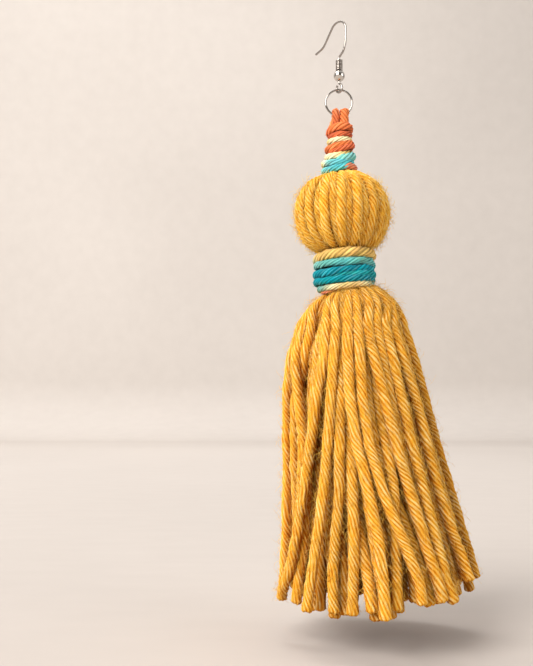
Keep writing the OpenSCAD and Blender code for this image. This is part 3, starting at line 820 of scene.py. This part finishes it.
def turn_of_cord(skein, centre, table, thick, dyes, lead, flat, hairs):
    """A closed turn of cord round a centre, from its table of outer sides and its dyes."""
    table = np.array(sorted(table), float)
    dyes = sorted(dyes, key=lambda row: row[0])
    reach = spread_round(table[:, 0], table[:, 2]) - thick * flat / 2
    dye_at = [row[0] for row in dyes]
    dye = np.stack([spread_round(dye_at, [row[1][k] for row in dyes]) for k in range(3)], axis=1)
    a = np.radians(AZIMUTHS)
    route = np.stack([centre[0] + reach * np.cos(a), centre[1] + reach * np.sin(a),
                      spread_round(table[:, 0], table[:, 1])], axis=1)
    looped, dye_loop = np.vstack([route, route[:1]]), np.vstack([dye, dye[:1]])
    run = distance_along(looped)
    at = np.linspace(0, run[-1], max(12, round(run[-1] / 0.75)), endpoint=False)
    route = np.stack([np.interp(at, run, looped[:, k]) for k in range(3)], axis=1)
    dye = np.stack([np.interp(at, run, dye_loop[:, k]) for k in range(3)], axis=1)
    along = unit(np.roll(route, -1, axis=0) - np.roll(route, 1, axis=0))
    outward = np.stack([route[:, 0] - centre[0], route[:, 1] - centre[1], np.zeros(len(route))], axis=1)
    sides = sides_from(outward, along)
    tints = 1 + 0.1 * rng.standard_normal((CORD_PLIES, 1)) + 0.03 * rng.standard_normal((CORD_PLIES, 3))
    # Sides that turn in towards the stem are painted darker, as painted shade
    rows, outward = lay(skein, route, sides, along, thick, CORD_PLIES, lead, dye, closed=True, flat=flat,
                        tints=tints, groove=0.21, facing=sides, gap_shade_power=(1.7, 1.7, 1.6))
    fuzz(skein, rows, outward, along, hairs, 1.0, dye.mean(0) * 1.15)


def wind(piece, node, groups, x, lead, flat, hairs):
    """Wind each group of turns round the stem or the neck at x, and make it one piece."""
    for name, (slot, turns) in groups.items():
        skein = Skein()
        for table, thick, dyes in turns:
            turn_of_cord(skein, (x, HANG[1]), table, thick, dyes, lead, flat, hairs)
        skein.piece(piece + name, CORD, "tassel", node + name, slot)


def make_turns():
    reseed(TURN_SEED)
    wind("wound_", "stem_turn_", STEM_TURNS, HANG[0], 8.8, 0.9, 14)
    wind("neck_band_", "neck_turn_", NECK_TURNS, NECK_X, 9.0, 0.85, 40)


def make_core():
    """The cords inside the stem, which show between its turns. Their reach grows from the top down."""
    bundle = Skein()
    levels = ((1.3, STEM_TOP + 0.2), (1.5, -33.0), (1.9, -37.0), (2.3, STEM_FOOT + 0.1))
    for k in range(6):
        a = math.radians(60 * k + 15)
        route = smooth([[HANG[0] + r * math.cos(a), HANG[1] + r * math.sin(a), z] for r, z in levels], 0.9)
        along, sides = carried_sides(route)
        lay(bundle, route, sides, along, 1.9, CORD_PLIES, 12.3, CORAL * 0.9)
    bundle.piece("stem_bundle", CORD, "tassel", "stem_core", "coral_cord")


def make_loops():
    """Two loops of cord over the ring, whose legs run down into the stem."""
    reseed(LOOP_SEED)
    ring_foot = RING_Z - RING_R
    for name, x, foot, thick, wide, dye, back, behind in LOOPS:
        cord = Skein()
        over = (RING_WIRE + thick) / 2 + 0.02
        # Up in front, over the ring and down behind: how far right of and behind the hanging line,
        # and how high
        steps = [(foot, -0.9, STEM_TOP - 1.6), ((x + foot) / 2, -1.15, STEM_TOP + 0.4)]
        for k in range(9):
            a = math.radians(-20 + 220 * k / 8)
            steps.append((x, -over * math.cos(a), ring_foot + over * math.sin(a)))
        steps += [(0.5 * x + 0.5 * back, 1.2, STEM_TOP + 1.1), (back, 1.0, STEM_TOP - 0.4),
                  (0.8 * back, 0.8, STEM_TOP - 2.2)]
        route = smooth([[HANG[0] + u, HANG[1] + v, z] for u, v, z in steps], 0.7)
        along, sides = carried_sides(route)
        part = np.linspace(0, 1, len(route))[:, None] ** 2.5
        tint = dye * (1 - part) + behind * part
        rows, outward = lay(cord, route, sides, along, thick, CORD_PLIES, 8.5, tint, flat=wide,
                            tints=ply_tints(CORD_PLIES) ** 1.6)
        fuzz(cord, rows, outward, along, 22, 0.9, dye * 1.15)
        cord.piece("cord_over_ring_" + name, CORD, "tassel", "cord_loop_" + name, "coral_cord")


# Metal
def arc(radius, turn):
    """A run that bends: its length and the angle that it turns, with a turn to the left above 0."""
    return (radius * math.radians(abs(turn)), turn)


def chain(rows, start, heading, step):
    """Points along runs, about a step apart, from a start and a heading."""
    points, u, v = [start], start[0], start[1]
    for length, turn in rows:
        count = max(1, math.ceil(length / step))
        for _ in range(count):
            heading += turn / count / 2
            u += length / count * math.cos(math.radians(heading))
            v += length / count * math.sin(math.radians(heading))
            heading += turn / count / 2
            points.append((u, v))
    return points


def wire(name, points, width, finish, body, node, tips=None):
    """A round wire along some points, made from a path and given its thickness."""
    bpy.ops.object.select_all(action="DESELECT")
    bpy.ops.curve.primitive_nurbs_path_add(location=(0, 0, 0))
    piece = bpy.context.object
    piece.name = name
    curve = piece.data
    curve.splines.clear()
    spline = curve.splines.new("POLY")
    spline.points.add(len(points) - 1)
    for k, (point, place) in enumerate(zip(spline.points, points)):
        point.co = (place[0] * MM, place[1] * MM, place[2] * MM, 1.0)
        point.radius = 1.0 if tips is None else tips[k]
    curve.dimensions = "3D"
    curve.bevel_depth = width / 2 * MM
    curve.bevel_resolution = 5
    curve.use_fill_caps = True
    bpy.ops.object.convert(target="MESH")
    piece = bpy.context.object
    bpy.ops.object.mode_set(mode="EDIT")
    bpy.ops.mesh.select_all(action="SELECT")
    bpy.ops.mesh.remove_doubles(threshold=0.002 * MM)
    bpy.ops.mesh.normals_make_consistent(inside=False)
    bpy.ops.object.mode_set(mode="OBJECT")
    bpy.ops.object.shade_smooth_by_angle(angle=math.radians(50))
    piece.data.materials.clear()
    piece.data.materials.append(finish.material)
    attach(piece, body)
    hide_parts(node)


def make_ear_wire():
    """From its highest point the wire runs forward over the arch, down the front leg and round the eye,
    and backward down the free leg."""
    front = [arc(ARCH_R, -90), (2.4, 0), arc(2.9 * ARCH_R, -22), arc(1.03 * ARCH_R, -33), (0.26 * ARCH_R, 0),
             arc(0.19 * ARCH_R, 55)]
    neck_r, neck_turn, straight = 0.58 * WIRE, 65, 0.0246
    eye_r = (EYE_W - WIRE) / 2
    dip = 1 - math.cos(math.radians(neck_turn))
    side_r = (eye_r - neck_r * dip) / dip
    eye = [(7.0, 0), arc(neck_r, neck_turn), arc(side_r, -neck_turn), (straight, 0), arc(eye_r, -180),
           (straight, 0), arc(side_r, -0.7 * neck_turn)]
    free = [arc(ARCH_R, 53), (4.2, 0), arc(1.4 * ARCH_R, -37), (0.65 * ARCH_R, 0)]
    apex = (0.0, WIRE / 2)
    plane = chain(free, apex, 180, 0.22)[::-1] + chain(front + eye, apex, 0, 0.16)[1:]
    route = [(u * math.cos(HOOK_TURN), -u * math.sin(HOOK_TURN), v) for u, v in plane]
    # The free end is thinner
    tips = [0.62] + [1.0] * (len(route) - 1)
    wire("ear_wire", route, WIRE, SILVER, "hook", "ear_hook", tips)


def make_coil():
    coil = []
    for k in range(int(COIL_TURNS * COIL_STEPS) + 1):
        a = 2 * math.pi * k / COIL_STEPS - 1.2
        coil.append((HANG[0] + COIL_R * math.cos(a), HANG[1] + COIL_R * math.sin(a),
                     COIL_Z + COIL_PITCH * k / COIL_STEPS))
    wire("wound_coil", coil, COIL_WIRE, SILVER, "hook", "hook_coil")


def make_ball():
    """Ball with a bore for the wire: a sphere whose poles are opened and joined."""
    bpy.ops.object.select_all(action="DESELECT")
    bpy.ops.mesh.primitive_uv_sphere_add(segments=48, ring_count=32, radius=BALL_R * MM,
                                         location=(HANG[0] * MM, HANG[1] * MM, BALL_Z * MM))
    ball = bpy.context.object
    ball.name = "bored_ball"
    bpy.ops.object.transform_apply(location=True, rotation=True, scale=True)
    bpy.ops.object.mode_set(mode="EDIT")
    bpy.ops.mesh.select_all(action="DESELECT")
    bpy.ops.object.mode_set(mode="OBJECT")
    for vertex in ball.data.vertices:
        off_axis = math.hypot(vertex.co.x - HANG[0] * MM, vertex.co.y - HANG[1] * MM)
        vertex.select = off_axis < POLE_R * MM
    bpy.ops.object.mode_set(mode="EDIT")
    bpy.ops.mesh.select_mode(type="VERT")
    bpy.ops.mesh.delete(type="VERT")
    bpy.ops.mesh.select_mode(type="EDGE")
    bpy.ops.mesh.select_all(action="DESELECT")
    bpy.ops.mesh.select_non_manifold()
    bpy.ops.mesh.bridge_edge_loops()
    bpy.ops.mesh.select_all(action="SELECT")
    bpy.ops.mesh.normals_make_consistent(inside=False)
    bpy.ops.object.mode_set(mode="OBJECT")
    bpy.ops.object.shade_smooth_by_angle(angle=math.radians(40))
    ball.data.materials.append(POLISH.material)
    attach(ball, "hook")
    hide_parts("hook_ball")


def make_ring():
    """A bent wire whose two cut ends nearly meet."""
    ring = []
    for k in range(121):
        a = math.radians(RING_CUT + RING_GAP / 2 + (360 - RING_GAP) * k / 120)
        ring.append((RING_X + RING_R * math.cos(a), HANG[1], RING_Z + RING_R * math.sin(a)))
    wire("bent_ring", ring, RING_WIRE, SILVER, "ring", "jump_ring")


# Stage and light
def make_stage():
    """A pale floor that turns up into a wall far behind."""
    # The row at 1.2 keeps the shading of the floor flat nearly up to the bend
    profile = [(NEAR_Y, 0.0), (1.2, 0.0), (BEND_Y, 0.0)]
    for k in range(1, 13):
        a = math.radians(90 * k / 12)
        profile.append((BEND_Y + BEND_R * math.sin(a), BEND_R * (1 - math.cos(a))))
    profile.append((BEND_Y + BEND_R, WALL_H))
    points, faces = [], []
    for k, (y, z) in enumerate(profile):
        points += [(-WALL_HALF, y, z + FLOOR_Z), (WALL_HALF, y, z + FLOOR_Z)]
        if k:
            faces.append((2 * k - 2, 2 * k - 1, 2 * k + 1, 2 * k))
    mesh = bpy.data.meshes.new("pale_sweep")
    mesh.from_pydata(points, [], faces)
    for polygon in mesh.polygons:
        polygon.use_smooth = True
    stage = bpy.data.objects.new("pale_sweep", mesh)
    bpy.context.scene.collection.objects.link(stage)
    finish = Finish("pale_plaster")
    place = finish.node("ShaderNodeTexCoord", output="Object")
    grain = finish.noise(place, (30.0, 90.0, 30.0), 4.0)
    cloud = finish.noise(place, (1.6, 1.6, 1.6), 2.0)
    tone = (grain * 0.35 + cloud * 0.65).held()
    # Where the sweep faces up it takes the lighter floor colours, as painted light from above
    facing = finish.node("ShaderNodeNewGeometry", output="Normal")
    level = finish.node("ShaderNodeSeparateXYZ", None, {0: facing}, "Z").held()
    # The floor is painted darker towards the camera, as painted shade
    far = (finish.node("ShaderNodeSeparateXYZ", None, {0: place}, "Y") * 0.75 + 0.02).held()
    wall = finish.blend(tone, srgb(197, 190, 184), srgb(220, 213, 207))
    far_floor = finish.blend(tone, srgb(216, 208, 202), srgb(236, 229, 223))
    near_floor = finish.blend(tone, srgb(188, 180, 174), srgb(206, 198, 192))
    base = finish.blend(level, wall, finish.blend(far, near_floor, far_floor))
    finish.surface(Base_Color=base, Roughness=0.9, Specular_IOR_Level=0.2)
    mesh.materials.append(finish.material)


def area(name, place, aim, size, power, colour):
    data = bpy.data.lights.new(name, "AREA")
    data.shape = "RECTANGLE"
    data.size, data.size_y = size
    data.energy = power
    data.color = colour
    lamp = bpy.data.objects.new(name, data)
    lamp.location = place
    direction = np.array(aim) - np.array(place)
    yaw = math.atan2(direction[1], direction[0]) - math.pi / 2
    pitch = math.atan2(direction[2], math.hypot(direction[0], direction[1])) + math.pi / 2
    lamp.rotation_euler = (pitch, 0.0, yaw)
    bpy.context.scene.collection.objects.link(lamp)


# Of each lamp: name, place, point that it faces, size, power and colour
LAMPS = (("key", (-1.6, -1.75, 1.35), (0.0, 0.0, -0.09), (1.8, 1.8), 107.0, (1.0, 0.97, 0.93)),
         ("fill", (1.1, -0.7, 0.1), (0.0, 0.0, -0.09), (0.8, 1.2), 7.2, (1.0, 0.98, 0.96)),
         ("wall_wash", (-0.6, 0.3, 1.6), (0.2, 1.9, 0.3), (1.4, 0.8), 17.5, (1.0, 0.98, 0.96)))


def make_light():
    world = bpy.data.worlds.new("soft_studio")
    bpy.context.scene.world = world
    world.use_nodes = True
    # Bright above and to the sides, and dim behind the camera, so that the metal shows its shape
    sky = Shading(world.node_tree)
    place = sky.node("ShaderNodeTexCoord", output="Generated")
    depth = sky.node("ShaderNodeSeparateXYZ", None, {0: place}, "Y")
    height = sky.node("ShaderNodeSeparateXYZ", None, {0: place}, "Z")
    level = (height * 0.9 + 0.45).held() * (depth * 0.9 + 0.8).held()
    colour = sky.blend(level, (0.17, 0.16, 0.15, 1.0), (1.0, 0.98, 0.95, 1.0))
    sky.set("Background", Color=colour, Strength=0.7)
    for lamp in LAMPS:
        area(*lamp)


make_ear_wire()
make_coil()
make_ball()
make_ring()
make_loops()
make_core()
make_turns()
make_head()
make_skirt()
make_stage()
make_light()
bpy.context.scene.view_settings.view_transform = "Standard"
